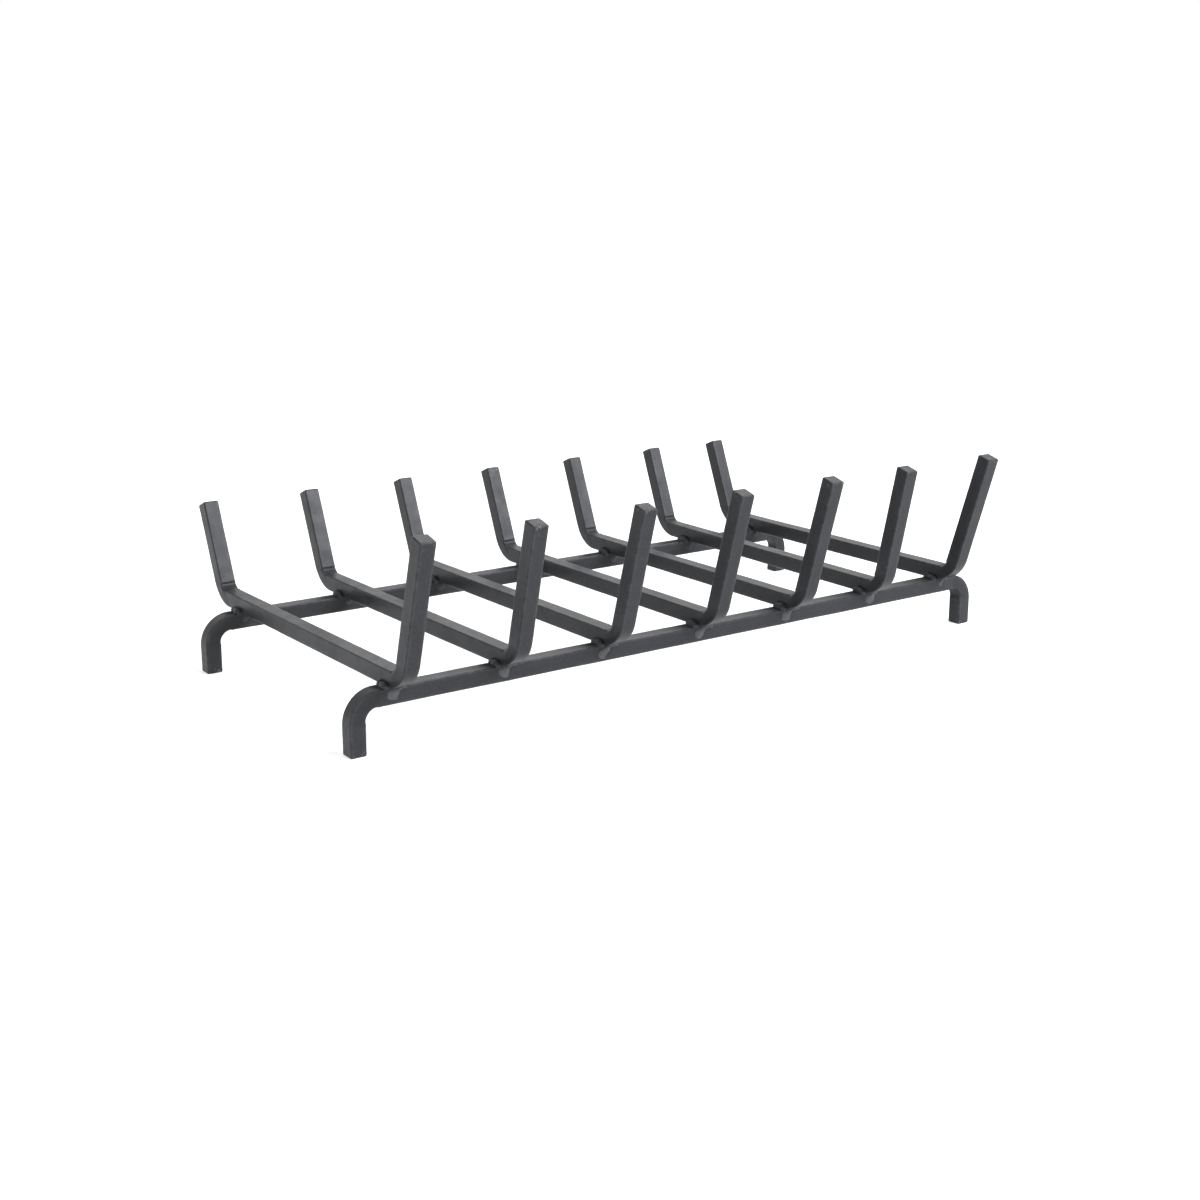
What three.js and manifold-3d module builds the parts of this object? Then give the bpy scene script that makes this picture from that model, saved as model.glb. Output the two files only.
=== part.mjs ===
// A log grate of half-inch square steel bar. Two rails, each with both ends bent down into legs,
// carry seven log bars. A log bar lies across both rails and both its ends are bent up into prongs.
// A weld bead fills each corner between a log bar and a rail.
// Millimetres. Z is up, the front is -Y, and the feet stand on Z = 0.

import * as THREE from 'three';
import { mergeVertices } from 'three/addons/utils/BufferGeometryUtils.js';
import Module from 'manifold-3d';

const wasm = await Module();
wasm.setup();

// Square bar stock
const barSize = 12.7;
const half = barSize / 2;
const edgeChamfer = 0.9;
const bendSteps = 9;
const barEnds = { front: -1, rear: 1 };

// Rails and their legs
const railLength = 610;
const railSpacing = 243;
const railTop = 46;
const legInnerRadius = 9;
const legOuterRadius = 24;

// Where the log bars lie on the rails. An inset runs from an end of the rails to the middle of the
// nearest log bar. The bars are evenly spread, but the last one lies short of its even place.
const barCount = 7;
const firstBarInset = 36.5;
const lastBarInset = 39;
const lastBarShort = 8.5;
const spread = railLength - firstBarInset - lastBarInset;
const barPitch = (spread + lastBarShort) / (barCount - 1);

// Log bar ends. A reach runs from the middle of a rail to the corner between bar and prong.
const frontReach = 15.5;
const rearReach = 27.5;
const frontProngAngle = THREE.MathUtils.degToRad(74);
const rearProngAngle = THREE.MathUtils.degToRad(67.5);
const frontProngLength = 105;
const rearProngLength = 73.5;
const prongInnerRadius = 6;
const prongOuterRadius = 27;

// Hand work, in degrees by bar number: how far a front prong leans to the right of plumb, and how
// far a bar lies askew, its rear end to the right. Bars that aren't named are true.
const frontLeans = new Map([[2, -1.5], [6, -4], [7, 1.5]]);
const barSkews = new Map([[6, 1.1]]);

// Weld beads. The bead on the right of a log bar goes on round the rail's front edge, thinly under
// the bar's bend, and runs out down the rail's front face. A stop of this run has its X from the
// middle of the log bar, its Z from the rail's top and the radius of the bead there.
const beadLeg = 5;
const beadFullness = 0.8;
const beadOverhang = 1.2;
const beadLength = barSize + beadOverhang;
const beadSteps = 5;
const runStops = [
  { x: half + 2, z: 1.5, radius: 1.4 },
  { x: half + 0.2, z: -0.9, radius: 1.2 },
  { x: -0.5, z: -1.7, radius: 1.3 },
  { x: -8.9, z: -8.7, radius: 2.2 },
];
const runFlatness = 0.55;
const runCapSteps = 3;
const runSides = 10;

// Points of a mesh closer together than this are one point
const mergeDistance = 1e-4;

const frontCorner = railSpacing / 2 + frontReach;
const rearCorner = railSpacing / 2 + rearReach;

function paintedBarMaterial() {
  return new THREE.MeshStandardMaterial({ color: 0x48494b, roughness: 0.58, metalness: 0.25 });
}

function paintedWeldMaterial() {
  return new THREE.MeshStandardMaterial({ color: 0x3f4042, roughness: 0.5, metalness: 0.25 });
}

// One cross section of a bar in the YZ plane: a point on each face and the way into the bar there
function station(outer, outerIn, inner, innerIn) {
  return { outer, outerIn, inner, innerIn };
}

// The sections of one end, from the start of its bend to its tip. The sign is -1 towards the front.
function endStations(sign, end) {
  const up = new THREE.Vector2(sign * Math.cos(end.angle), Math.sin(end.angle));
  const out = new THREE.Vector2(sign * Math.sin(end.angle), -Math.cos(end.angle));
  const into = out.clone().negate();
  const bendReach = Math.tan(end.angle / 2);
  const innerCorner = new THREE.Vector2(sign * end.corner, barSize);
  const innerStart = end.corner - end.innerRadius * bendReach;
  const outerStart = end.corner + (barSize - end.outerRadius) * bendReach;
  const innerMiddle = new THREE.Vector2(sign * innerStart, barSize + end.innerRadius);
  const outerMiddle = new THREE.Vector2(sign * outerStart, end.outerRadius);
  const stations = [];
  for (let step = 0; step <= bendSteps; step += 1) {
    const turn = (end.angle * step) / bendSteps;
    const away = new THREE.Vector2(sign * Math.sin(turn), -Math.cos(turn));
    const outer = outerMiddle.clone().addScaledVector(away, end.outerRadius);
    const inner = innerMiddle.clone().addScaledVector(away, end.innerRadius);
    stations.push(station(outer, away.clone().negate(), inner, away));
  }
  const inner = innerCorner.clone().addScaledVector(up, end.length - edgeChamfer);
  const outer = inner.clone().addScaledVector(out, barSize);
  stations.push(station(outer, into, inner, out));
  return stations;
}

// The eight corners of one section, with its four long edges cut off
function sectionRing(section) {
  const narrow = half - edgeChamfer;
  const outerSide = section.outer.clone().addScaledVector(section.outerIn, edgeChamfer);
  const innerSide = section.inner.clone().addScaledVector(section.innerIn, edgeChamfer);
  return [
    [-narrow, section.outer],
    [narrow, section.outer],
    [half, outerSide],
    [half, innerSide],
    [narrow, section.inner],
    [-narrow, section.inner],
    [-half, innerSide],
    [-half, outerSide],
  ].map(([side, point]) => new THREE.Vector3(side, point.x, point.y));
}

// The sawn end beyond the last section, drawn in by the edge cut
function tipRing(ring, direction) {
  const middle = ring.reduce((sum, point) => sum.add(point), new THREE.Vector3()).divideScalar(ring.length);
  const shrink = (half - edgeChamfer) / half;
  return ring.map((point) =>
    point.clone().sub(middle).multiplyScalar(shrink).add(middle).addScaledVector(direction, edgeChamfer));
}

// Leans a front prong sideways, more the higher it goes above the bar
function leanFront(point, lean) {
  if (point.y < 0 && point.z > barSize) {
    point.x += Math.tan(lean) * (point.z - barSize);
  }
}

// A square bar along Y with both ends bent up. Its lower face lies on Z = 0.
function bentBarGeometry(front, rear, lean = 0) {
  const frontRings = endStations(barEnds.front, front).reverse().map(sectionRing);
  const rearRings = endStations(barEnds.rear, rear).map(sectionRing);
  const frontTip = new THREE.Vector3(0, -Math.cos(front.angle), Math.sin(front.angle));
  const rearTip = new THREE.Vector3(0, Math.cos(rear.angle), Math.sin(rear.angle));
  const rings = [
    tipRing(frontRings[0], frontTip),
    ...frontRings,
    ...rearRings,
    tipRing(rearRings[rearRings.length - 1], rearTip),
  ];
  const points = rings.flat();
  points.forEach((point) => leanFront(point, lean));
  const corners = rings[0].length;
  const index = [];
  for (let ring = 0; ring < rings.length - 1; ring += 1) {
    for (let corner = 0; corner < corners; corner += 1) {
      const next = (corner + 1) % corners;
      const a = ring * corners + corner;
      const b = ring * corners + next;
      const c = a + corners;
      const d = b + corners;
      index.push(a, d, b, a, c, d);
    }
  }
  const last = (rings.length - 1) * corners;
  for (let corner = 1; corner < corners - 1; corner += 1) {
    index.push(0, corner, corner + 1);
    index.push(last, last + corner + 1, last + corner);
  }
  const geometry = new THREE.BufferGeometry().setFromPoints(points);
  geometry.setIndex(index);
  geometry.computeVertexNormals();
  return geometry;
}

function railGeometry() {
  const leg = {
    corner: railLength / 2 - barSize,
    angle: Math.PI / 2,
    length: railTop - barSize,
    innerRadius: legInnerRadius,
    outerRadius: legOuterRadius,
  };
  // Turned over so that the bent ends point down, then laid along X
  return bentBarGeometry(leg, leg).rotateX(Math.PI).rotateZ(Math.PI / 2).translate(0, 0, railTop);
}

function logBarGeometry(number) {
  const bend = { innerRadius: prongInnerRadius, outerRadius: prongOuterRadius };
  const front = { corner: frontCorner, angle: frontProngAngle, length: frontProngLength, ...bend };
  const rear = { corner: rearCorner, angle: rearProngAngle, length: rearProngLength, ...bend };
  const lean = THREE.MathUtils.degToRad(frontLeans.get(number) ?? 0);
  return bentBarGeometry(front, rear, lean);
}

// Slides each point sideways by how far it lies behind the middle of the grate
function skewed(geometry, number, middle) {
  const slope = Math.tan(THREE.MathUtils.degToRad(barSkews.get(number) ?? 0));
  const shear = new THREE.Matrix4().makeShear(0, 0, slope, 0, 0, 0);
  return geometry.translate(0, middle, 0).applyMatrix4(shear).translate(0, -middle, 0);
}

function toSolid(geometry) {
  const shell = geometry.clone();
  shell.deleteAttribute('normal');
  shell.deleteAttribute('uv');
  const merged = mergeVertices(shell, mergeDistance);
  return new wasm.Manifold(new wasm.Mesh({
    numProp: 3,
    vertProperties: new Float32Array(merged.attributes.position.array),
    triVerts: new Uint32Array(merged.index.array),
  }));
}

function toGeometry(solid) {
  const mesh = solid.getMesh();
  const geometry = new THREE.BufferGeometry();
  const points = new Float32Array(mesh.vertProperties);
  geometry.setAttribute('position', new THREE.BufferAttribute(points, 3));
  geometry.setIndex(new THREE.BufferAttribute(new Uint32Array(mesh.triVerts), 1));
  geometry.computeVertexNormals();
  return geometry;
}

// The welds of one crossing are made about the middle of the log bar, with Y = 0 at the rail's rear
// face and Z = 0 at its top.

// The fillet between the rail's top and the log bar's left side
function leftBeadGeometry() {
  const profile = new THREE.Shape();
  profile.moveTo(0, 0);
  profile.lineTo(0, beadLeg);
  profile.quadraticCurveTo(-beadLeg * beadFullness, beadLeg * beadFullness, -beadLeg, 0);
  profile.closePath();
  const path = { depth: beadLength, curveSegments: beadSteps, bevelEnabled: false };
  const bead = new THREE.ExtrudeGeometry(profile, path);
  return bead.rotateX(Math.PI / 2).translate(-half, 0, 0);
}

function rightBeadGeometry() {
  return leftBeadGeometry().rotateZ(Math.PI).translate(0, -beadLength, 0);
}

// A stretch of the run on the rail's front face, flattened towards it
function runStretch(from, to) {
  const across = to.x - from.x;
  const down = from.z - to.z;
  const radius = Math.max(from.radius, to.radius);
  const length = Math.hypot(across, down);
  const stretch = new THREE.CapsuleGeometry(radius, length, runCapSteps, runSides);
  stretch.rotateX(Math.PI / 2);
  stretch.scale(1, runFlatness, 1);
  stretch.rotateY(-Math.atan2(across, down));
  stretch.translate((from.x + to.x) / 2, -barSize, (from.z + to.z) / 2);
  return toSolid(stretch);
}

// What the run must keep out of: the rail behind it, and the log bar above it
function neighbourSolid() {
  const reach = railLength;
  const rail = new THREE.BoxGeometry(reach, barSize, reach).translate(0, -half, -reach / 2);
  const bar = new THREE.BoxGeometry(barSize, reach, reach).translate(0, 0, reach / 2);
  return toSolid(rail).add(toSolid(bar));
}

function weldGeometry(side) {
  if (side === 'left') {
    return toGeometry(toSolid(leftBeadGeometry()));
  }
  let weld = toSolid(rightBeadGeometry());
  for (let stop = 1; stop < runStops.length; stop += 1) {
    weld = weld.add(runStretch(runStops[stop - 1], runStops[stop]));
  }
  return toGeometry(weld.subtract(neighbourSolid()));
}

function barPosition(number) {
  const short = number === barCount ? lastBarShort : 0;
  return firstBarInset - railLength / 2 + (number - 1) * barPitch - short;
}

function named(name, geometry, material) {
  const mesh = new THREE.Mesh(geometry, material);
  mesh.name = name;
  return mesh;
}

// The four beads of one log bar, each with its rear end at the rear face of its rail
function addWelds(grate, number) {
  for (const [place, sign] of Object.entries(barEnds)) {
    const railRear = (sign * railSpacing) / 2 + half;
    for (const side of ['left', 'right']) {
      const bead = skewed(weldGeometry(side), number, railRear);
      const weld = named(`weld_${place}_${number}_${side}`, bead, paintedWeldMaterial());
      weld.position.set(barPosition(number), railRear, railTop);
      grate.add(weld);
    }
  }
}

function buildGrate() {
  const grate = new THREE.Group();
  for (const [place, sign] of Object.entries(barEnds)) {
    const rail = named(`${place}_rail`, railGeometry(), paintedBarMaterial());
    rail.position.y = (sign * railSpacing) / 2;
    grate.add(rail);
  }
  for (let number = 1; number <= barCount; number += 1) {
    const shape = skewed(logBarGeometry(number), number, 0);
    const bar = named(`log_bar_${number}`, shape, paintedBarMaterial());
    bar.position.set(barPosition(number), 0, railTop);
    grate.add(bar);
    addWelds(grate, number);
  }
  return grate;
}

// How far a log bar's outer face stands from the middle of the grate at the tip of a prong
function tipReach(corner, length, angle) {
  return corner + length * Math.cos(angle) + barSize * Math.sin(angle);
}

// The prong tips reach further back than forward, so the grate is moved to stand centred on Y
const frontTip = tipReach(frontCorner, frontProngLength, frontProngAngle);
const rearTip = tipReach(rearCorner, rearProngLength, rearProngAngle);
const grate = buildGrate();
grate.position.y = (frontTip - rearTip) / 2;

export default grate;
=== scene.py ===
import math

import bmesh
import bpy
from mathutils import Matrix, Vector, noise


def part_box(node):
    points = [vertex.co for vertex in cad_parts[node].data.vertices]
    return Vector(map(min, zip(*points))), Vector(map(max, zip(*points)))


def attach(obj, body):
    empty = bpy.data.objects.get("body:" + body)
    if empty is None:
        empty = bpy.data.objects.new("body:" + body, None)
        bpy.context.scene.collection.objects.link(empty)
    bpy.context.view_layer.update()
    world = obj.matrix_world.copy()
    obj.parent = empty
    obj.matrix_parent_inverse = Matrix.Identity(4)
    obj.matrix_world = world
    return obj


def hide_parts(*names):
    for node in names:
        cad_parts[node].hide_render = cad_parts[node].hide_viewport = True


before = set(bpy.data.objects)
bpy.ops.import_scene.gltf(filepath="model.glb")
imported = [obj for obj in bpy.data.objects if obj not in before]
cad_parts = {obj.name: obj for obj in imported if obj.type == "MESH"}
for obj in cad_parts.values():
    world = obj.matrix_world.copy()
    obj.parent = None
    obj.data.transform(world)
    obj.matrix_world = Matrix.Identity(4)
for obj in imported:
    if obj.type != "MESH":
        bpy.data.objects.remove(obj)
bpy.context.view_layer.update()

# The finish of a log grate of half-inch square bar: two bent rails, seven log bars and 28 weld
# beads. Metres. Z is up, the front is -Y, and the feet stand on Z = 0.

MM = 0.001

# Square bar stock
BAR = 12.7 * MM
HALF = BAR / 2
EDGE_RADIUS = 1.15 * MM
EDGE_SEGMENTS = 4
FACE_CUTS = 5  # extra points across each flat of the profile
HAIR = 0.01  # slack when telling the rounded corners from the flats
RING_SPACING = 4.0 * MM  # between sections along straight bar

# Rails and log bars, as the solids have them
RAILS = {place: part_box(place + "_rail") for place in ("front", "rear")}
RAIL_TOP = RAILS["front"][1].z
RAIL_LENGTH = RAILS["front"][1].x - RAILS["front"][0].x
LEG_INNER_RADIUS = 9 * MM
LEG_OUTER_RADIUS = 24 * MM
BAR_COUNT = 7
FRONT_REACH = 15.5 * MM
REAR_REACH = 27.5 * MM
FRONT_ANGLE = math.radians(74)
REAR_ANGLE = math.radians(67.5)
FRONT_LENGTH = 105 * MM
REAR_LENGTH = 73.5 * MM
PRONG_INNER_RADIUS = 6 * MM
PRONG_OUTER_RADIUS = 27 * MM
FRONT_LEANS = {2: -1.5, 6: -4.0, 7: 1.5}  # degrees, by log bar
BAR_SKEWS = {6: 1.1}  # degrees, by log bar

# What bending did: the steel swells inside a bend and draws in outside it, and the bender's die
# leaves a shallow hollow inside, with a low lip at either end
BEND_STEPS = 20
BEND_SWELL = 0.42 * MM
BEND_SQUEEZE = 0.3 * MM
LEG_PRINT = 0.275 * MM
PRONG_PRINT = 0.33 * MM
PRINT_REACH = 1.76 * MM  # how far beyond a bend its lips lie
PRINT_SLOPE = 0.35  # the share of its length over which the hollow runs out
LIP_WIDTH = 0.16  # as a share of that length
PRINT_MARGIN = 3.2 * MM  # how far beyond a bend the sections stay close together
PRINT_STEPS = 6

# How true the bar is: its faces lie in by up to UNEVENNESS, in long and short waves
UNEVENNESS = 0.16 * MM
MEAN_DEPTH = 0.5
LONG_WAVES, LONG_SHARE = 38, 0.62  # waves to the metre, and how much they count
SHORT_WAVES, SHORT_SHARE = 130, 0.34
SAWN_TRUENESS = 0.8  # how much less uneven a sawn end is
BAR_TO_BAR = (3.7, 1.3, 5.1)  # moves the waves on from one bar to the next

# Sawn ends
TIP_ROUNDING = 1.2 * MM
TIP_TURNS = (30, 60, 90)
TIP_WEAR = 7 * MM  # how far from a sawn end the paint is chipped
SAWN_RIM = 1.2 * MM

# Painted shade, from 0 to 1: darker inside the bends, in the die's hollow and next to the welds
BEND_SHADE = 0.5
OUTER_SHADE = 0.15  # the share of a bend's painted shade on its outside
RAIL_WELD_SHADE = 0.35  # painted shade right at a weld, on a rail
BAR_WELD_SHADE = 0.95  # and on a log bar
WELD_SHADE_REACH = 11 * MM
FAR_SIDE_RELIEF = 0.6  # how much weaker it is on the face away from the weld

SHADING_WEIGHT = 60  # how strongly the large faces set the shading


def rail_middle(place):
    low, high = RAILS[place]
    return (low.y + high.y) / 2


def skew_of(number):
    return math.tan(math.radians(BAR_SKEWS.get(number, 0)))


def bar_middle(number):
    """The X at which a log bar crosses the middle of the part"""
    low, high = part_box("weld_front_%d_left" % number)
    return high.x + HALF - skew_of(number) * RAILS["front"][1].y


# ---------------------------------------------------------------- square bar, drawn out and bent

class Section:
    """One cross section of a bar: its outer and inner point in the plane of the bend, how far along
    the bar it lies, how the steel swelled inside the bend and drew in outside it, how much shade is
    painted there, and how much the whole section is narrowed"""

    def __init__(self, outer, inner, along, swell=0.0, squeeze=0.0, painted_shade=0.0, shrink=1.0):
        self.outer = outer
        self.inner = inner
        self.along = along
        self.swell = swell
        self.squeeze = squeeze
        self.painted_shade = painted_shade
        self.shrink = shrink

    def moved(self, step, along):
        """A plain section one step further on"""
        return Section(self.outer + step, self.inner + step, self.along + along)


def between(a, b, share):
    """The section that lies that share of the way from a to b"""
    return Section(
        a.outer.lerp(b.outer, share),
        a.inner.lerp(b.inner, share),
        a.along + (b.along - a.along) * share,
        a.swell + (b.swell - a.swell) * share,
        a.squeeze + (b.squeeze - a.squeeze) * share,
        a.painted_shade + (b.painted_shade - a.painted_shade) * share,
    )


def stretched(sections, last):
    """Adds evenly spaced sections from the end of the list up to and with the last one"""
    first = sections[-1]
    count = max(1, round(abs(last.along - first.along) / RING_SPACING))
    return sections + [between(first, last, step / count) for step in range(1, count + 1)]


def press_in(section, distance, reach, depth):
    """Leaves the die's print in a section, and paints shade into its hollow. The distance runs over
    the bar's inner face, from the middle of the bend."""
    away = distance / reach
    hollow = min(1.0, max(0.0, (1 - away) / PRINT_SLOPE))
    lip = math.exp(-((away - 1) / LIP_WIDTH) ** 2)
    into = (section.outer - section.inner).normalized()
    section.inner = section.inner + into * depth * (hollow - lip)
    # Painted shade in the die's hollow
    section.painted_shade = max(section.painted_shade, hollow)


def end_sections(sign, corner, angle, length, inner_radius, outer_radius, print_depth):
    """Sections from just before a bend to the sawn tip, towards +X or +Y where sign is 1"""
    up = Vector((sign * math.cos(angle), math.sin(angle)))
    out = Vector((sign * math.sin(angle), -math.cos(angle)))
    reach = math.tan(angle / 2)
    inner_start = corner - inner_radius * reach
    inner_middle = Vector((sign * inner_start, BAR + inner_radius))
    outer_middle = Vector((sign * (corner + (BAR - outer_radius) * reach), outer_radius))
    half_arc = inner_radius * angle / 2

    bend = []
    for step in range(BEND_STEPS + 1):
        share = step / BEND_STEPS
        turn = angle * share
        away = Vector((sign * math.sin(turn), -math.cos(turn)))
        middle = math.sin(math.pi * share)
        along = inner_start + (inner_radius + outer_radius) / 2 * turn
        section = Section(
            outer_middle + away * outer_radius, inner_middle + away * inner_radius, sign * along,
            BEND_SWELL * middle, BEND_SQUEEZE * middle, BEND_SHADE * middle)
        bend.append((section, abs(2 * share - 1) * half_arc))
    first = bend[0][0]
    last = bend[-1][0]
    level = Vector((sign, 0))
    for step in range(1, PRINT_STEPS + 1):
        extra = PRINT_MARGIN * step / PRINT_STEPS
        bend.insert(0, (first.moved(-level * extra, -sign * extra), half_arc + extra))
        bend.append((last.moved(up * extra, sign * extra), half_arc + extra))
    for section, distance in bend:
        press_in(section, distance, half_arc + PRINT_REACH, print_depth)

    inner = Vector((sign * corner, BAR)) + up * (length - TIP_ROUNDING)
    outer = inner + out * BAR
    straight = length - TIP_ROUNDING - inner_radius * reach
    tip = Section(outer, inner, last.along + sign * straight)
    sections = stretched([section for section, distance in bend], tip)
    for turn in TIP_TURNS:
        rise = TIP_ROUNDING * math.sin(math.radians(turn))
        rounded = tip.moved(up * rise, sign * rise)
        rounded.shrink = (HALF - TIP_ROUNDING * (1 - math.cos(math.radians(turn)))) / HALF
        sections.append(rounded)
    return sections


def bar_sections(front, rear):
    towards_front = end_sections(-1, **front)
    towards_rear = end_sections(1, **rear)
    sections = stretched(towards_front[::-1], towards_rear[0])
    return sections + towards_rear[1:]


def bar_profile(bm):
    """A square face with rounded corners. Layers keep where each point lies on the profile, and
    whether it lies on a rounded edge."""
    corners = bmesh.ops.create_grid(bm, x_segments=1, y_segments=1, size=HALF)["verts"]
    bmesh.ops.bevel(
        bm, geom=corners, offset=EDGE_RADIUS, offset_type="OFFSET", affect="VERTICES",
        segments=EDGE_SEGMENTS, profile=0.5, material=-1, clamp_overlap=False)
    long_edges = [edge for edge in bm.edges if edge.calc_length() > 2 * EDGE_RADIUS]
    bmesh.ops.subdivide_edges(bm, edges=long_edges, cuts=FACE_CUTS)
    side = bm.verts.layers.float.new("side")
    depth = bm.verts.layers.float.new("depth")
    edge = bm.verts.layers.float.new("edge")
    rounding_starts = 1 - EDGE_RADIUS / HALF - HAIR
    for vert in bm.verts:
        vert[side] = vert.co.x / HALF
        vert[depth] = vert.co.y / HALF
        vert[edge] = 1.0 if min(abs(vert[side]), abs(vert[depth])) > rounding_starts else 0.0


def next_cap(bm, cap, is_start):
    """Draws a cap out one step. The old cap stays only where it closes the start of the bar."""
    made = bmesh.ops.extrude_face_region(bm, geom=[cap])["geom"]
    if not is_start:
        bmesh.ops.delete(bm, geom=[cap], context="FACES_ONLY")
    return [item for item in made if isinstance(item, bmesh.types.BMFace)][0]


def draw_out(sections, to_part, crossings, weld_shade):
    """Draws the square profile out through the sections. to_part turns (sideways, along, up) into a
    point of the part. The crossings tell how far along the bar it is welded, and the last argument
    how dark the shade painted next to a weld is."""
    bm = bmesh.new()
    bar_profile(bm)
    along = bm.verts.layers.float.new("along")
    # The "bend" layer holds painted shade: inside the bends, in the die's hollow and next to welds
    bend = bm.verts.layers.float.new("bend")
    sawn = bm.verts.layers.float.new("sawn")
    tip = bm.verts.layers.float.new("tip")
    side = bm.verts.layers.float["side"]
    depth = bm.verts.layers.float["depth"]
    ends = (sections[0].along, sections[-1].along)
    cap = bm.faces[:][0]
    for index, section in enumerate(sections):
        if index:
            cap = next_cap(bm, cap, index == 1)
        middle = (section.outer + section.inner) / 2
        to_inner = (section.inner - section.outer) / 2
        to_weld = min(abs(section.along - crossing) for crossing in crossings)
        to_tip = min(abs(section.along - end) for end in ends)
        # Painted shade next to a weld, where the crossing bar and the bead shade the steel
        weld_shaded = weld_shade * math.exp(-(to_weld / WELD_SHADE_REACH) ** 2)
        for vert in cap.verts:
            inside = (1 + vert[depth]) / 2
            swollen = section.swell * inside - section.squeeze * (1 - inside)
            across = vert[side] * (HALF * section.shrink + swollen)
            point = middle + to_inner * vert[depth] * section.shrink
            vert.co = to_part(across, point.x, point.y)
            vert[along] = section.along
            # Painted shade, mostly on the inside of a bend, and next to a weld weaker on the far
            # face
            shaded = section.painted_shade * (OUTER_SHADE + (1 - OUTER_SHADE) * inside)
            vert[bend] = max(shaded, weld_shaded * (1 - FAR_SIDE_RELIEF * inside))
            vert[tip] = max(0.0, 1 - to_tip / TIP_WEAR)
            vert[sawn] = 1.0 if index in (0, len(sections) - 1) else 0.0
    bmesh.ops.recalc_face_normals(bm, faces=bm.faces[:])
    return bm


def inset_sawn_ends(bm):
    """A ring of small faces inside each sawn end, so that its rim keeps its shape"""
    ends = [face for face in bm.faces if len(face.verts) > 4]
    bmesh.ops.inset_individual(bm, faces=ends, thickness=SAWN_RIM, depth=0.0)


def hand_worked(bm, seed):
    """Rolled and bent bar isn't true: its faces lie in a little, in soft waves"""
    bm.normal_update()
    sawn = bm.verts.layers.float["sawn"]
    moves = []
    for vert in bm.verts:
        place = vert.co + Vector([seed * step for step in BAR_TO_BAR])
        long_wave = noise.noise(place * LONG_WAVES)
        short_wave = noise.noise(place * SHORT_WAVES)
        amount = MEAN_DEPTH + LONG_SHARE * long_wave + SHORT_SHARE * short_wave
        amount = max(0.0, min(1.0, amount)) * (1 - SAWN_TRUENESS * vert[sawn])
        moves.append((vert, vert.normal * -(UNEVENNESS * amount)))
    for vert, move in moves:
        vert.co += move


def finished(bm, name, node, material):
    """Makes the piece that stands for a node of the part"""
    for face in bm.faces:
        face.smooth = True
    mesh = bpy.data.meshes.new(name)
    bm.to_mesh(mesh)
    bm.free()
    piece = bpy.data.objects.new(name, mesh)
    bpy.context.scene.collection.objects.link(piece)
    mesh.materials.append(material)
    weighted = piece.modifiers.new("even shading", "WEIGHTED_NORMAL")
    weighted.mode = "FACE_AREA"
    weighted.weight = SHADING_WEIGHT
    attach(piece, "root")
    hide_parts(node)


def make_rail(place, material, seed):
    leg = dict(
        corner=RAIL_LENGTH / 2 - BAR, angle=math.pi / 2, length=RAIL_TOP - BAR,
        inner_radius=LEG_INNER_RADIUS, outer_radius=LEG_OUTER_RADIUS, print_depth=LEG_PRINT)
    y = rail_middle(place)
    crossings = [bar_middle(number) for number in range(1, BAR_COUNT + 1)]

    def to_part(across, x, down):
        return Vector((x, y + across, RAIL_TOP - down))

    bm = draw_out(bar_sections(leg, leg), to_part, crossings, RAIL_WELD_SHADE)
    inset_sawn_ends(bm)
    hand_worked(bm, seed)
    finished(bm, place + "_rail_bar", place + "_rail", material)


def make_log_bar(number, material, seed):
    bend = dict(
        inner_radius=PRONG_INNER_RADIUS, outer_radius=PRONG_OUTER_RADIUS, print_depth=PRONG_PRINT)
    front = dict(
        corner=FRONT_REACH - rail_middle("front"), angle=FRONT_ANGLE, length=FRONT_LENGTH, **bend)
    rear = dict(
        corner=REAR_REACH + rail_middle("rear"), angle=REAR_ANGLE, length=REAR_LENGTH, **bend)
    lean = math.tan(math.radians(FRONT_LEANS.get(number, 0)))
    skew = skew_of(number)
    x = bar_middle(number)
    crossings = [rail_middle(place) for place in RAILS]

    def to_part(across, y, up):
        leaning = lean * (up - BAR) if y < 0 and up > BAR else 0.0
        return Vector((x + across + leaning + skew * y, y, RAIL_TOP + up))

    bm = draw_out(bar_sections(front, rear), to_part, crossings, BAR_WELD_SHADE)
    inset_sawn_ends(bm)
    hand_worked(bm, seed)
    name = "log_bar_%d" % number
    finished(bm, name + "_forged", name, material)


# ---------------------------------------------------------------- weld beads

BEAD_SIDES = 26
RING_STEP = 0.24 * MM
BEAD_ROOT = 0.5  # how deep a bead sits in the steel, as a share of its height
TOE_POWER = 1.9  # above 1, the sides of a bead run out more flatly into the steel
PALE_POWER = 0.8  # below 1, the painted highlight reaches further down a bead's sides
END_TAPER = 0.7  # a bead narrows to its ends over this share of its half width
END_WIDTH = 0.05  # and ends in this share of it
RIPPLE_PITCH = 1.3 * MM
RIPPLE_HEIGHT = 0.055  # as a share of the bead's height
RIPPLE_SCOOP = 1.1 * MM  # how far a ripple's crown runs ahead of its ends
SCOOP_LEVEL = 0.4  # the height in the bead's profile that the scoop leaves in place
RIPPLE_DRIFT = 0.45 * RIPPLE_PITCH  # how far ripples stray from even places
RIPPLE_SHIFT = 0.37 * RIPPLE_PITCH  # how far they are moved on from one bead to the next
LUMPS = 0.27  # how much a bead swells and shrinks
WANDER = 0.24  # how much its sides wander
WANDER_ACROSS = 1.7  # how differently the two sides wander

# Noise along a bead: waves to the metre, the step from one bead to the next, and a layer of its own
LUMP_NOISE = (230, 7.3, 0.5)
DRIFT_NOISE = (330, 2.9, 5.5)
WANDER_NOISE = (300, 3.1, 2.5)
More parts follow.
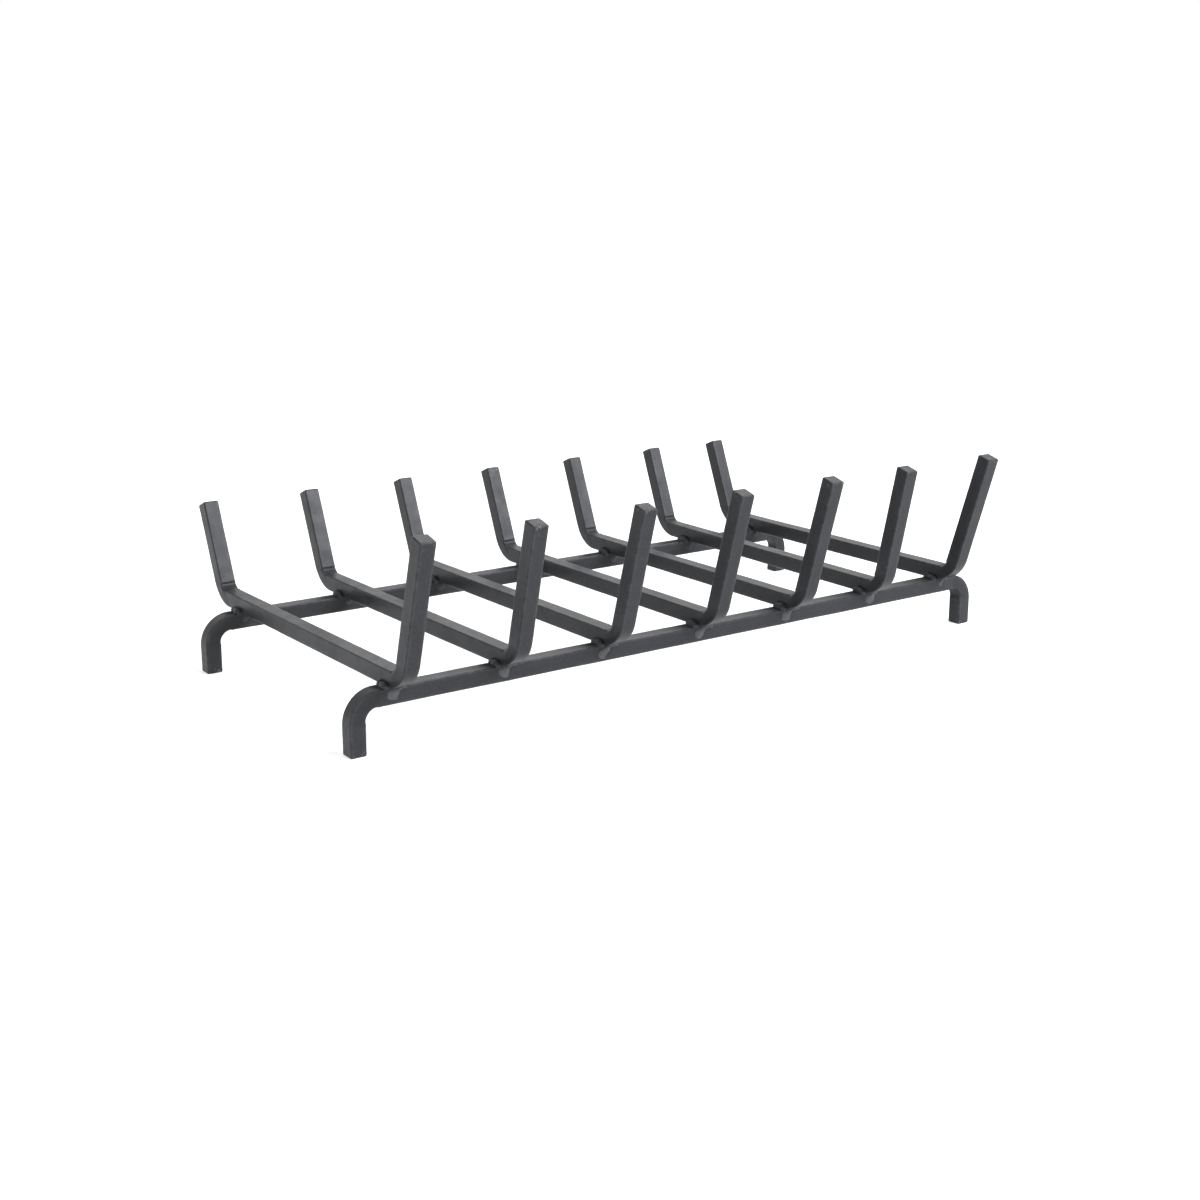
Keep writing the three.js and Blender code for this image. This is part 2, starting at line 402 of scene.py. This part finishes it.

# The runs down a rail's front face, by log bar: how far each is moved to the right, its length and
# width as shares of a usual one, and how pale its painted highlight is
RUNS = {
    "front": [
        (0.8 * MM, 0.85, 1.25, 0.9), (0.4 * MM, 0.80, 1.20, 1.0), (-0.6 * MM, 1.05, 0.95, 1.0),
        (0.2 * MM, 0.95, 1.05, 0.9), (-0.4 * MM, 1.00, 1.10, 0.9), (4.2 * MM, 0.95, 1.10, 0.9),
        (3.0 * MM, 0.60, 0.70, 0.7)],
    "rear": [
        (1.0 * MM, 0.70, 0.60, 0.3), (2.0 * MM, 0.60, 0.70, 0.3), (0.5 * MM, 0.75, 0.90, 0.4),
        (0.0 * MM, 0.80, 1.00, 0.4), (3.5 * MM, 0.80, 1.10, 0.4), (-0.5 * MM, 0.80, 1.20, 0.4),
        (1.5 * MM, 0.60, 0.80, 0.3)],
}
RUN_TOP = -1.7  # mm above the rail's top, from where a run is stretched or shortened
EDGE_PALENESS = 0.4  # highlight painted where a bead turns over the edge, as a share of its run's


class Stop:
    """A point of a bead's path: where it is, which way is out of the steel, half its width, its
    height and how pale its painted highlight is"""

    def __init__(self, point, out, width, height, pale=0.0):
        self.point = Vector(point)
        self.out = Vector(out).normalized()
        self.width = width
        self.height = height
        self.pale = pale


def smooth_path(stops):
    """Close, evenly spaced stops along a soft curve through the given ones"""
    curve = []
    for index in range(len(stops) - 1):
        a, b, c, d = (stops[max(0, min(len(stops) - 1, index + shift))] for shift in (-1, 0, 1, 2))
        count = max(2, round((c.point - b.point).length / RING_STEP))
        for step in range(count):
            t = step / count
            # How much each of the four stops counts on a curve that passes through b and c
            weights = (
                -0.5 * t + t * t - 0.5 * t ** 3, 1 - 2.5 * t * t + 1.5 * t ** 3,
                0.5 * t + 2 * t * t - 1.5 * t ** 3, -0.5 * t * t + 0.5 * t ** 3)
            point = sum((stop.point * w for stop, w in zip((a, b, c, d), weights)), Vector())
            curve.append(Stop(
                point, b.out.lerp(c.out, t), b.width + (c.width - b.width) * t,
                b.height + (c.height - b.height) * t, b.pale + (c.pale - b.pale) * t))
    curve.append(stops[-1])
    return curve


def ripple(distance):
    """Round ridges with sharp valleys between them, as the weld pool leaves them"""
    phase = distance / RIPPLE_PITCH % 1.0
    return math.sqrt(max(0.0, 1 - (2 * phase - 1) ** 2)) - 0.5


def bead_noise(kind, gone, seed, shift=0.0):
    waves, step, layer = kind
    return noise.noise(Vector((gone * waves, shift + seed * step, layer)))


def lay_bead(stops, seed):
    """Draws a round profile out along the path of a weld bead, rippled and lumpy"""
    curve = smooth_path(stops)
    bm = bmesh.new()
    bmesh.ops.create_circle(bm, cap_ends=True, segments=BEAD_SIDES, radius=1.0)
    side = bm.verts.layers.float.new("side")
    rise = bm.verts.layers.float.new("rise")
    edge = bm.verts.layers.float.new("edge")
    for vert in bm.verts:
        vert[side] = vert.co.x
        vert[rise] = vert.co.y
    travelled = [0.0]
    for before, after in zip(curve, curve[1:]):
        travelled.append(travelled[-1] + (after.point - before.point).length)
    total = travelled[-1]
    cap = bm.faces[:][0]
    for index, stop in enumerate(curve):
        if index:
            cap = next_cap(bm, cap, index == 1)
        ahead = curve[min(len(curve) - 1, index + 1)].point - curve[max(0, index - 1)].point
        ahead.normalize()
        across = ahead.cross(stop.out).normalized()
        gone = travelled[index]
        near_end = min(1.0, max(0.0, min(gone, total - gone) / (END_TAPER * stop.width)))
        taper = max(END_WIDTH, math.sqrt(1 - (1 - near_end) ** 2))
        lump = 1 + LUMPS * bead_noise(LUMP_NOISE, gone, seed)
        drift = RIPPLE_DRIFT * bead_noise(DRIFT_NOISE, gone, seed)
        ridge = 1 + RIPPLE_HEIGHT * ripple(gone + drift + seed * RIPPLE_SHIFT) * taper
        height = stop.height * taper * ridge * lump
        for vert in cap.verts:
            scoop = RIPPLE_SCOOP * (vert[rise] - SCOOP_LEVEL) * taper
            sway = bead_noise(WANDER_NOISE, gone, seed, vert[side] * WANDER_ACROSS)
            width = stop.width * taper * lump * (1 + WANDER * sway)
            above = max(0.0, vert[rise])
            lift = above ** TOE_POWER + BEAD_ROOT * min(0.0, vert[rise])
            # Painted highlight, palest on the bead's crown
            vert[edge] = stop.pale * above ** PALE_POWER
            vert.co = (
                stop.point + across * vert[side] * width
                + stop.out * lift * height + ahead * scoop)
    bmesh.ops.recalc_face_normals(bm, faces=bm.faces[:])
    return bm


# Each stop of a bead has its place, which way is out, half its width and its height. The place is
# given by mm sideways (from the bar's left face or its middle), Y and mm above the rail's top.

def left_bead(x, y, skew, seed):
    """Along the corner left of the log bar, ending in a drop over the rail's front edge"""
    front = y - HALF
    back = y + HALF

    def at(dx, py, dz):
        return (x - HALF + dx * MM + skew * (py - y), py, RAIL_TOP + dz * MM)

    stops = [
        Stop(at(-1.2, back - 0.6 * MM, 1.1), (-1, 0.35, 1), 2.9 * MM, 1.9 * MM),
        Stop(at(-1.4, back - 3.5 * MM, 1.4), (-1, 0, 1), 3.7 * MM, 2.5 * MM),
        Stop(at(-1.4, y, 1.4), (-1, 0, 1), 3.8 * MM, 2.6 * MM),
        Stop(at(-1.6, front + 2.8 * MM, 1.3), (-1, -0.2, 1), 3.9 * MM, 2.7 * MM),
        Stop(at(-1.7, front + 0.6 * MM, 0.4), (-0.7, -0.7, 0.8), 3.5 * MM, 2.3 * MM),
        Stop(at(-1.9, front + 0.2 * MM, -1.2), (-0.3, -1, 0.2), 2.8 * MM, 1.3 * MM),
    ]
    return lay_bead(stops, seed)


def right_bead(x, y, skew, seed, run):
    """Along the corner right of the log bar, thinly under its bend, then in a flat run down the
    rail's front face"""
    shift, length, width, pale = run
    front = y - HALF
    back = y + HALF

    def at(dx, py, dz):
        return (x + dx * MM + skew * (py - y), py, RAIL_TOP + dz * MM)

    def on_face(dx, dz, half_width, height):
        place = Vector(at(dx * length, front + 0.05 * MM, RUN_TOP + (dz - RUN_TOP) * length))
        place.x += shift
        return Stop(place, (0.1, -1, 0.25), half_width * width * MM, height * MM, pale)

    edge = HALF / MM
    # The painted highlight is weaker where the bead turns over the edge
    turning = EDGE_PALENESS * pale
    stops = [
        Stop(at(edge + 1.2, back - 0.6 * MM, 1.1), (1, 0.35, 1), 2.9 * MM, 1.9 * MM),
        Stop(at(edge + 1.4, back - 3.5 * MM, 1.4), (1, 0, 1), 3.7 * MM, 2.4 * MM),
        Stop(at(edge + 1.4, y, 1.4), (1, 0, 1), 3.7 * MM, 2.4 * MM),
        Stop(at(edge + 1.2, front + 2.6 * MM, 1.1), (1, -0.3, 1), 3.5 * MM, 2.2 * MM),
        Stop(at(edge + 0.5, front + 0.5 * MM, 0.0), (0.6, -0.9, 0.5), 2.9 * MM, 1.6 * MM, turning),
        Stop(at(edge - 2.2, front + 0.1 * MM, -0.6), (0.1, -1, 0.1), 2.0 * MM, 1.0 * MM, pale),
        on_face(0.8, -1.4, 1.7, 0.85),
        on_face(-1.6, -3.0, 3.0, 0.9),
        on_face(-4.4, -5.4, 3.9, 0.9),
        on_face(-6.8, -7.6, 3.8, 0.7),
        on_face(-8.4, -9.0, 3.0, 0.35),
    ]
    return lay_bead(stops, seed)


def make_welds(number, material):
    skew = skew_of(number)
    for row, place in enumerate(("front", "rear")):
        y = rail_middle(place)
        crossing = bar_middle(number) + skew * y
        for column, side in enumerate(("left", "right")):
            seed = number * 4 + row * 2 + column
            name = "weld_%s_%d_%s" % (place, number, side)
            if side == "left":
                bead = left_bead(crossing, y, skew, seed)
            else:
                bead = right_bead(crossing, y, skew, seed, RUNS[place][number - 1])
            finished(bead, name + "_bead", name, material)


# ---------------------------------------------------------------- finishes

WHITE = (1, 1, 1, 1)
CARD = (0.82, 0.82, 0.82, 1)
SHADE_BLACK = (0.010, 0.010, 0.011, 1)
SAWN_GREY = (0.072, 0.073, 0.075, 1)
BARE_STEEL = (0.13, 0.125, 0.12, 1)
SHINE = 0.19
SHINIER, DULLER = 0.07, 0.08  # how far the roughness strays either way
SHADE_DULLING = 0.1

# How much each layer covers what is under it
STREAK_SHARE = 0.35  # of the mottling, with the rest in patches
GRAIN_SHARE = 0.35
# The next two are the painted shade and the painted highlight
SHADE_SHARE = 0.6
HIGHLIGHT_SHARE = 0.7
SAWN_SHARE = 0.65

DENT_STRENGTH, DENT_DEPTH = 0.35, 0.25 * MM
STREAK_STRENGTH, STREAK_DEPTH = 0.2, 0.1 * MM
STREAK_STRETCH = 9.0  # how a metre along the bar compares with half its thickness across
SAW_STRENGTH, SAW_DEPTH = 0.5, 0.15 * MM
GRAIN_DEPTH = 0.08 * MM
CARD_GLOW = (0.66, 0.9)  # near the grate and far from it, so that the lit card shows as white
CARD_REACH = (0.5, 1.4)  # from the middle, where near ends and far begins


class Nodes:
    """A short way to write the nodes of a material or the world. An input takes a value or another
    node's output."""

    def __init__(self, owner, output):
        owner.use_nodes = True
        self.tree = owner.node_tree
        self.tree.nodes.clear()
        self.output = self.tree.nodes.new(output)

    def plug(self, value, socket):
        if isinstance(value, bpy.types.NodeSocket):
            self.tree.links.new(value, socket)
        else:
            socket.default_value = value

    def add(self, kind, inputs=(), **settings):
        node = self.tree.nodes.new(kind)
        for key, value in settings.items():
            setattr(node, key, value)
        for key, value in dict(inputs).items():
            self.plug(value, node.inputs[key])
        return node

    def finish(self, shader):
        self.plug(shader.outputs[0], self.output.inputs["Surface"])

    def attribute(self, layer):
        return self.add("ShaderNodeAttribute", attribute_name=layer).outputs["Fac"]

    def noise(self, place, scale, detail, roughness):
        inputs = {"Vector": place, "Scale": scale, "Detail": detail, "Roughness": roughness}
        return self.add("ShaderNodeTexNoise", inputs).outputs[0]

    def ramp(self, source, start, end, low=0.0):
        """Greys from low at the start to white at the end"""
        node = self.add("ShaderNodeValToRGB", {"Fac": source})
        for element, position, grey in zip(node.color_ramp.elements, (start, end), (low, 1.0)):
            element.position = position
            element.color = (grey, grey, grey, 1)
        return node.outputs[0]

    def spread(self, source, before, after, curve="LINEAR"):
        """Turns a value that runs over before into one that runs over after"""
        inputs = {"Value": source}
        inputs.update(zip(("From Min", "From Max", "To Min", "To Max"), before + after))
        return self.add("ShaderNodeMapRange", inputs, interpolation_type=curve).outputs[0]

    def mix(self, factor, a, b):
        return self.add("ShaderNodeMix", {0: factor, 6: a, 7: b}, data_type="RGBA").outputs[2]

    def math(self, operation, a, b):
        return self.add("ShaderNodeMath", {0: a, 1: b}, operation=operation).outputs[0]

    def times(self, a, b):
        return self.math("MULTIPLY", a, b)

    def bump(self, height, strength, distance, under=None):
        inputs = {"Height": height, "Strength": strength, "Distance": distance}
        if under is not None:
            inputs["Normal"] = under
        return self.add("ShaderNodeBump", inputs).outputs[0]

    def shows_background(self):
        """1 for the rays that show the background: straight, by reflection or through glass"""
        path = self.add("ShaderNodeLightPath")
        seen = self.math("MAXIMUM", path.outputs["Is Camera Ray"], path.outputs["Is Glossy Ray"])
        return self.math("MAXIMUM", seen, path.outputs["Is Transmission Ray"])

    def switch(self, factor, first, second):
        inputs = {0: factor, 1: first.outputs[0], 2: second.outputs[0]}
        return self.add("ShaderNodeMixShader", inputs)


def paint_colour(n, place, streaks, shaded, base, dark, pale, least_highlight):
    """Mottled and grained paint, darkened by painted shade in the bends and next to the welds,
    with a painted highlight paler along the rounded edges and on the welds' runs, thin on the sawn
    ends and chipped around them. The last argument is how much of the painted highlight shows at
    least."""
    patches = n.ramp(n.noise(place, scale=34, detail=5, roughness=0.6), 0.36, 0.66)
    mottle = n.math("ADD", n.times(streaks, STREAK_SHARE), n.times(patches, 1 - STREAK_SHARE))
    colour = n.mix(mottle, (*dark, 1), (*base, 1))
    fine = n.ramp(n.noise(place, scale=900, detail=3, roughness=0.6), 0.3, 0.7)
    colour = n.mix(n.times(fine, GRAIN_SHARE), colour, (*pale, 1))
    # Painted shade in the bends, in the die's hollow and next to the welds
    colour = n.mix(n.times(shaded, SHADE_SHARE), colour, SHADE_BLACK)
    # Painted highlight: paler along the rounded edges of the bars and on the welds' runs, broken up
    # by noise
    highlight_breakup = n.ramp(n.noise(place, scale=160, detail=4, roughness=0.65), 0.42, 0.72, least_highlight)
    painted_highlight = n.times(n.times(n.attribute("edge"), highlight_breakup), HIGHLIGHT_SHARE)
    colour = n.mix(painted_highlight, colour, (*pale, 1))
    colour = n.mix(n.times(n.attribute("sawn"), SAWN_SHARE), colour, SAWN_GREY)
    flakes = n.ramp(n.noise(place, scale=330, detail=3, roughness=0.6), 0.585, 0.63)
    return n.mix(n.times(n.attribute("tip"), flakes), colour, BARE_STEEL)


def paint_relief(n, place, streaks, grain):
    """Small dents, rolling streaks, saw marks on the sawn ends, and the grain of the paint"""
    dents = n.noise(place, scale=260, detail=3, roughness=0.55)
    relief = n.bump(dents, DENT_STRENGTH, DENT_DEPTH)
    relief = n.bump(streaks, STREAK_STRENGTH, STREAK_DEPTH, relief)
    saw_inputs = {"Vector": place, "Scale": 900.0, "Distortion": 2.5, "Detail": 2.0}
    saw = n.add("ShaderNodeTexWave", saw_inputs, wave_type="BANDS", bands_direction="X")
    marked = n.times(n.attribute("sawn"), SAW_STRENGTH)
    relief = n.bump(saw.outputs["Fac"], marked, SAW_DEPTH, relief)
    skin = n.noise(place, scale=1300, detail=2, roughness=0.5)
    return n.bump(skin, grain, GRAIN_DEPTH, relief)


def painted_steel(name, base, dark, pale, grain, roughness, least_highlight):
    """Charcoal stove paint on rolled steel"""
    material = bpy.data.materials.new(name)
    n = Nodes(material, "ShaderNodeOutputMaterial")
    place = n.add("ShaderNodeTexCoord").outputs["Object"]
    on_bar = n.add("ShaderNodeCombineXYZ", {
        "X": n.times(n.attribute("along"), STREAK_STRETCH),
        "Y": n.attribute("side"),
        "Z": n.attribute("depth")})
    streaks = n.noise(on_bar.outputs[0], scale=3.2, detail=4, roughness=0.6)
    streaks = n.ramp(streaks, 0.34, 0.68)
    # Painted shade from the bend layer, broken up by noise; the dulling below is roughness
    painted_shade = n.ramp(n.noise(place, scale=90, detail=4, roughness=0.6), 0.3, 0.7, 0.55)
    shaded = n.times(n.attribute("bend"), painted_shade)
    gloss = n.noise(place, scale=70, detail=4, roughness=0.6)
    rough = n.spread(gloss, (0.3, 0.7), (roughness - SHINIER, roughness + DULLER))
    n.finish(n.add("ShaderNodeBsdfPrincipled", {
        "Base Color": paint_colour(n, place, streaks, shaded, base, dark, pale, least_highlight),
        "Metallic": 0.0,
        "Specular IOR Level": SHINE,
        "Roughness": n.math("ADD", rough, n.times(shaded, SHADE_DULLING)),
        "Normal": paint_relief(n, place, streaks, grain)}))
    return material


def floor_finish():
    """White card that shows as white, and that keeps the grate's soft shadow"""
    material = bpy.data.materials.new("white_card")
    n = Nodes(material, "ShaderNodeOutputMaterial")
    matt = n.add("ShaderNodeBsdfDiffuse", {"Color": CARD})
    place = n.add("ShaderNodeTexCoord").outputs["Object"]
    away = n.add("ShaderNodeVectorMath", {0: place}, operation="LENGTH").outputs["Value"]
    strength = n.spread(away, CARD_REACH, CARD_GLOW, "SMOOTHSTEP")
    glow = n.add("ShaderNodeEmission", {"Color": WHITE, "Strength": strength})
    none = n.add("ShaderNodeEmission", {"Color": (0, 0, 0, 1), "Strength": 0.0})
    shown = n.switch(n.shows_background(), none, glow)
    n.finish(n.add("ShaderNodeAddShader", {0: matt.outputs[0], 1: shown.outputs[0]}))
    return material


# ---------------------------------------------------------------- studio

CAMERA_PLACE = (-0.7997, -1.1137, 0.3948)
CAMERA_AZIMUTH = -35.656
CAMERA_ELEVATION = 14.566
CAMERA_LENS = 50.62
SENSOR_WIDTH = 36
NEAREST_SEEN = 0.01
FLOOR_REACH = 6.0  # from the middle to each side

ROOM_COLOUR = (0.97, 0.98, 1, 1)
ROOM_LIGHT = (0.37, 0.09)  # near the horizon and overhead
ROOM_HEIGHTS = (0.1, 0.8)  # where one starts and ends turning into the other, 1 being overhead
BRIGHT_WAY = (-0.2, 0.98, 0)
BRIGHT_GAIN = 2.3  # how much brighter the room is that way


def make_camera():
    data = bpy.data.cameras.new("camera")
    data.lens = CAMERA_LENS
    data.sensor_width = SENSOR_WIDTH
    data.clip_start = NEAREST_SEEN
    camera = bpy.data.objects.new("camera", data)
    bpy.context.scene.collection.objects.link(camera)
    azimuth = math.radians(CAMERA_AZIMUTH)
    elevation = math.radians(CAMERA_ELEVATION)
    back = Vector((
        math.sin(azimuth) * math.cos(elevation), -math.cos(azimuth) * math.cos(elevation),
        math.sin(elevation)))
    camera.location = CAMERA_PLACE
    camera.rotation_euler = back.to_track_quat("Z", "Y").to_euler()
    bpy.context.scene.camera = camera


def make_floor():
    bm = bmesh.new()
    bmesh.ops.create_grid(bm, x_segments=1, y_segments=1, size=FLOOR_REACH)
    mesh = bpy.data.meshes.new("floor")
    bm.to_mesh(mesh)
    bm.free()
    floor = bpy.data.objects.new("floor", mesh)
    mesh.materials.append(floor_finish())
    bpy.context.scene.collection.objects.link(floor)


def make_lamp(name, place, aim, size, power, colour):
    data = bpy.data.lights.new(name, "AREA")
    data.shape = "RECTANGLE"
    data.size, data.size_y = size
    data.energy = power
    data.color = colour
    lamp = bpy.data.objects.new(name, data)
    lamp.location = place
    lamp.rotation_euler = (Vector(place) - Vector(aim)).to_track_quat("Z", "Y").to_euler()
    lamp.visible_camera = False
    bpy.context.scene.collection.objects.link(lamp)


def make_world():
    """The light of a studio room: pale near the horizon, dim overhead, brightest behind the grate.
    The room itself shows as plain white."""
    world = bpy.data.worlds.new("studio")
    bpy.context.scene.world = world
    n = Nodes(world, "ShaderNodeOutputWorld")
    way = n.add("ShaderNodeTexCoord").outputs["Generated"]
    height = n.add("ShaderNodeSeparateXYZ", {"Vector": way}).outputs["Z"]
    light = n.spread(height, ROOM_HEIGHTS, ROOM_LIGHT, "SMOOTHSTEP")
    towards = n.add("ShaderNodeVectorMath", {0: way, 1: BRIGHT_WAY}, operation="DOT_PRODUCT")
    gain = n.spread(towards.outputs["Value"], (0.0, 1.0), (1.0, BRIGHT_GAIN))
    room_inputs = {"Color": ROOM_COLOUR, "Strength": n.times(light, gain)}
    room = n.add("ShaderNodeBackground", room_inputs)
    white = n.add("ShaderNodeBackground", {"Color": WHITE})
    n.finish(n.switch(n.shows_background(), room, white))


make_camera()
make_floor()
make_world()
make_lamp(
    "front_softbox", place=(1.3, -2.1, 1.85), aim=(0, 0.1, 0.05), size=(2.2, 1.4), power=128,
    colour=(0.92, 0.94, 1))
make_lamp(
    "left_softbox", place=(-0.74, -0.42, 0.22), aim=(-0.27, -0.17, 0.09), size=(0.5, 0.26),
    power=0.95, colour=(1, 1, 1))
make_lamp(
    "top_softbox", place=(0.8, 0.9, 1.25), aim=(0, 0, 0.05), size=(1.3, 1.0), power=11,
    colour=(1, 1, 1))

# The pale colour shows in the grain and as the painted highlight on the rounded edges
bar_paint = painted_steel(
    "charcoal_paint", base=(0.0275, 0.0285, 0.0300), dark=(0.0190, 0.0200, 0.0215),
    pale=(0.072, 0.074, 0.077), grain=0.5, roughness=0.35, least_highlight=0.15)
# Darker than the bars' paint: painted shade for the beads in the corners under the bars. The
# pale colour shows in the grain and as the painted highlight on the runs
weld_paint = painted_steel(
    "charcoal_paint_on_weld", base=(0.021, 0.022, 0.023), dark=(0.014, 0.015, 0.016),
    pale=(0.17, 0.172, 0.176), grain=0.4, roughness=0.4, least_highlight=0.6)

LOG_BAR_SEED = 10
for rail_seed, rail_place in enumerate(("front", "rear"), 1):
    make_rail(rail_place, bar_paint, rail_seed)
for bar_number in range(1, BAR_COUNT + 1):
    make_log_bar(bar_number, bar_paint, LOG_BAR_SEED + bar_number)
    make_welds(bar_number, weld_paint)

bpy.context.scene.view_settings.view_transform = "Standard"

bpy.context.view_layer.update()
